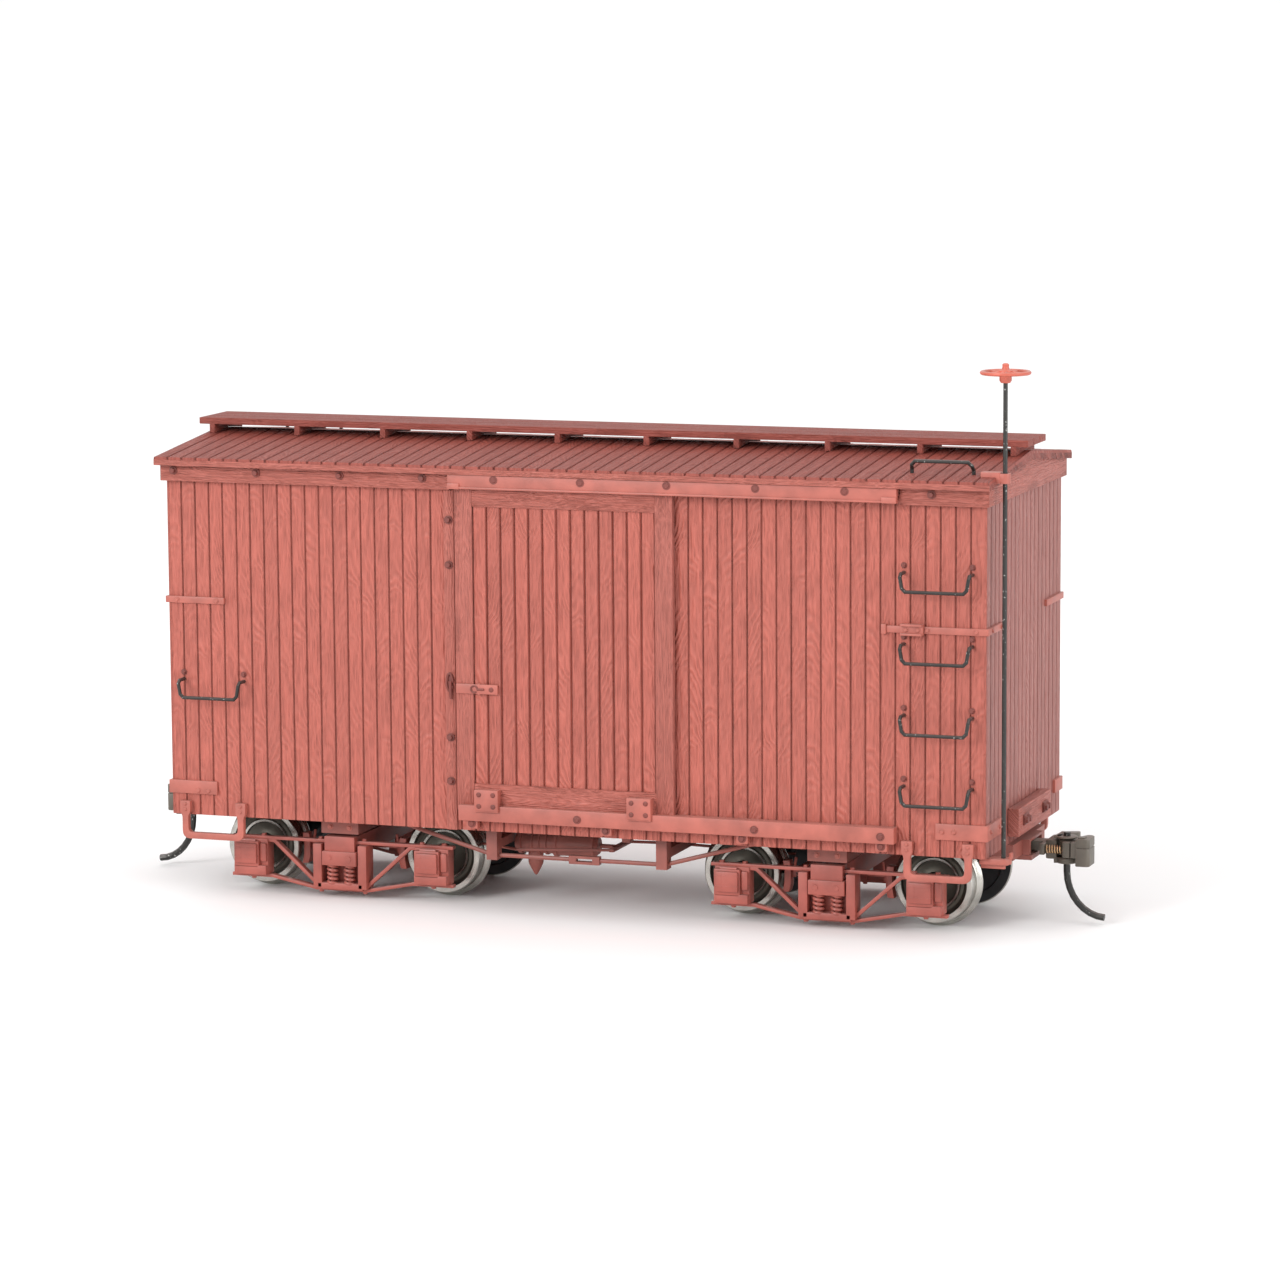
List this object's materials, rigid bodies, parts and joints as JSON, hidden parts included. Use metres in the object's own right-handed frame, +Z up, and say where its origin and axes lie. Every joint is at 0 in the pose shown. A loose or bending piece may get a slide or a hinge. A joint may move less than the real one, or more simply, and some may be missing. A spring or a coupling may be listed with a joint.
{
  "type": "model box car",
  "caption": "Scale model of a narrow-gauge wooden box car with sliding doors, arch-bar trucks, knuckle couplers and a hand-brake staff.",
  "frame": {"origin": "under the middle of the car, level with the lowest point of the wheel flanges", "axes": "+X along the car towards the end with the brake staff, +Y across the car, +Z up"},
  "size_m": [0.137, 0.0428, 0.0752],
  "materials": {
    "oxide_body": "matte oxide red, moulded wood grain",
    "roof_red": "matte dark oxide red, moulded wood grain",
    "truck_red": "satin bright oxide red",
    "black_wire": "blackened wire",
    "wheel_metal": "turned, nickel plated",
    "coupler_plastic": "satin brown-grey",
    "bronze_spring": "bright phosphor bronze wire",
    "bright_steel": "plain steel"
  },
  "bodies": {
    "car": {"body_shell": "oxide_body", "underframe": "oxide_body", "floor_deck": "oxide_body", "truss_rod_near": "oxide_body", "truss_rod_far": "oxide_body", "queen_posts_a": "oxide_body", "queen_posts_b": "oxide_body", "brake_cylinder": "oxide_body", "end_beam_a": "oxide_body", "end_beam_b": "oxide_body", "coupler_lid_a": "oxide_body", "coupler_lid_b": "oxide_body", "door_track_bottom_near": "oxide_body", "door_track_bottom_far": "oxide_body", "door_track_top_near": "oxide_body", "door_track_top_far": "oxide_body", "step_a_near": "oxide_body", "step_a_far": "oxide_body", "step_b_near": "oxide_body", "step_b_far": "oxide_body", "brake_staff_step": "oxide_body", "roof": "roof_red", "running_board": "roof_red", "ladder_rung_1_near": "black_wire", "ladder_rung_1_far": "black_wire", "ladder_rung_2_near": "black_wire", "ladder_rung_2_far": "black_wire", "ladder_rung_3_near": "black_wire", "ladder_rung_3_far": "black_wire", "ladder_rung_4_near": "black_wire", "ladder_rung_4_far": "black_wire", "corner_grab_near": "black_wire", "corner_grab_far": "black_wire", "roof_grab_near": "black_wire", "roof_grab_far": "black_wire", "ballast_weight": "bright_steel", "kingpin_screw_a": "bright_steel", "kingpin_screw_b": "bright_steel"},
    "truck_a": {"bolster_a": "truck_red", "sideframe_a_near": "truck_red", "sideframe_a_far": "truck_red"},
    "truck_b": {"bolster_b": "truck_red", "sideframe_b_near": "truck_red", "sideframe_b_far": "truck_red"},
    "axle_a_outer": {"wheelset_a_outer": "wheel_metal"},
    "axle_a_inner": {"wheelset_a_inner": "wheel_metal"},
    "axle_b_outer": {"wheelset_b_outer": "wheel_metal"},
    "axle_b_inner": {"wheelset_b_inner": "wheel_metal"},
    "coupler_a": {"coupler_head_a": "coupler_plastic", "trip_pin_a": "black_wire", "knuckle_spring_a": "bronze_spring"},
    "coupler_b": {"coupler_head_b": "coupler_plastic", "trip_pin_b": "black_wire", "knuckle_spring_b": "bronze_spring"},
    "jaw_a": {"knuckle_a": "coupler_plastic"},
    "jaw_b": {"knuckle_b": "coupler_plastic"},
    "brake_shaft": {"brake_staff": "black_wire", "brake_wheel": "truck_red"},
    "sliding_door_near": {"door_near": "oxide_body"},
    "sliding_door_far": {"door_far": "oxide_body"}
  },
  "joints": [
    {"name": "truck_a_swivel", "type": "hinge", "parent": "car", "child": "truck_a", "pos_m": [0.0345, 0, 0.009], "axis": [0, 0, 1], "range_deg": [-8, 8]},
    {"name": "axle_a_outer_roll", "type": "hinge", "parent": "truck_a", "child": "axle_a_outer", "pos_m": [0.0477, 0, 0.006], "axis": [0, 1, 0], "continuous": true},
    {"name": "axle_a_inner_roll", "type": "hinge", "parent": "truck_a", "child": "axle_a_inner", "pos_m": [0.0213, 0, 0.006], "axis": [0, 1, 0], "continuous": true},
    {"name": "truck_b_swivel", "type": "hinge", "parent": "car", "child": "truck_b", "pos_m": [-0.0345, 0, 0.009], "axis": [0, 0, 1], "range_deg": [-8, 8]},
    {"name": "axle_b_outer_roll", "type": "hinge", "parent": "truck_b", "child": "axle_b_outer", "pos_m": [-0.0477, 0, 0.006], "axis": [0, 1, 0], "continuous": true},
    {"name": "axle_b_inner_roll", "type": "hinge", "parent": "truck_b", "child": "axle_b_inner", "pos_m": [-0.0213, 0, 0.006], "axis": [0, 1, 0], "continuous": true},
    {"name": "coupler_a_swing", "type": "hinge", "parent": "car", "child": "coupler_a", "pos_m": [0.0525, 0, 0.01015], "axis": [0, 0, 1], "range_deg": [-10, 10], "stiffness_Nm_per_rad": 0.0005},
    {"name": "knuckle_a_open", "type": "hinge", "parent": "coupler_a", "child": "jaw_a", "pos_m": [0.0633, -0.0009, 0.01015], "axis": [0, 0, -1], "range_deg": [0, 30], "stiffness_Nm_per_rad": 0.0002, "springref_deg": -17.19, "deforming": ["knuckle_spring_a"]},
    {"name": "coupler_b_swing", "type": "hinge", "parent": "car", "child": "coupler_b", "pos_m": [-0.0525, 0, 0.01015], "axis": [0, 0, 1], "range_deg": [-10, 10], "stiffness_Nm_per_rad": 0.0005},
    {"name": "knuckle_b_open", "type": "hinge", "parent": "coupler_b", "child": "jaw_b", "pos_m": [-0.0633, 0.0009, 0.01015], "axis": [0, 0, -1], "range_deg": [0, 30], "stiffness_Nm_per_rad": 0.0002, "springref_deg": -17.19, "deforming": ["knuckle_spring_b"]},
    {"name": "brake_staff_turn", "type": "hinge", "parent": "car", "child": "brake_shaft", "pos_m": [0.059, -0.0171, 0.04], "axis": [0, 0, 1], "continuous": true},
    {"name": "door_near_slide", "type": "slide", "parent": "car", "child": "sliding_door_near", "axis": [1, 0, 0], "range_m": [0, 0.0278]},
    {"name": "door_far_slide", "type": "slide", "parent": "car", "child": "sliding_door_far", "axis": [-1, 0, 0], "range_m": [0, 0.0278]}
  ]
}
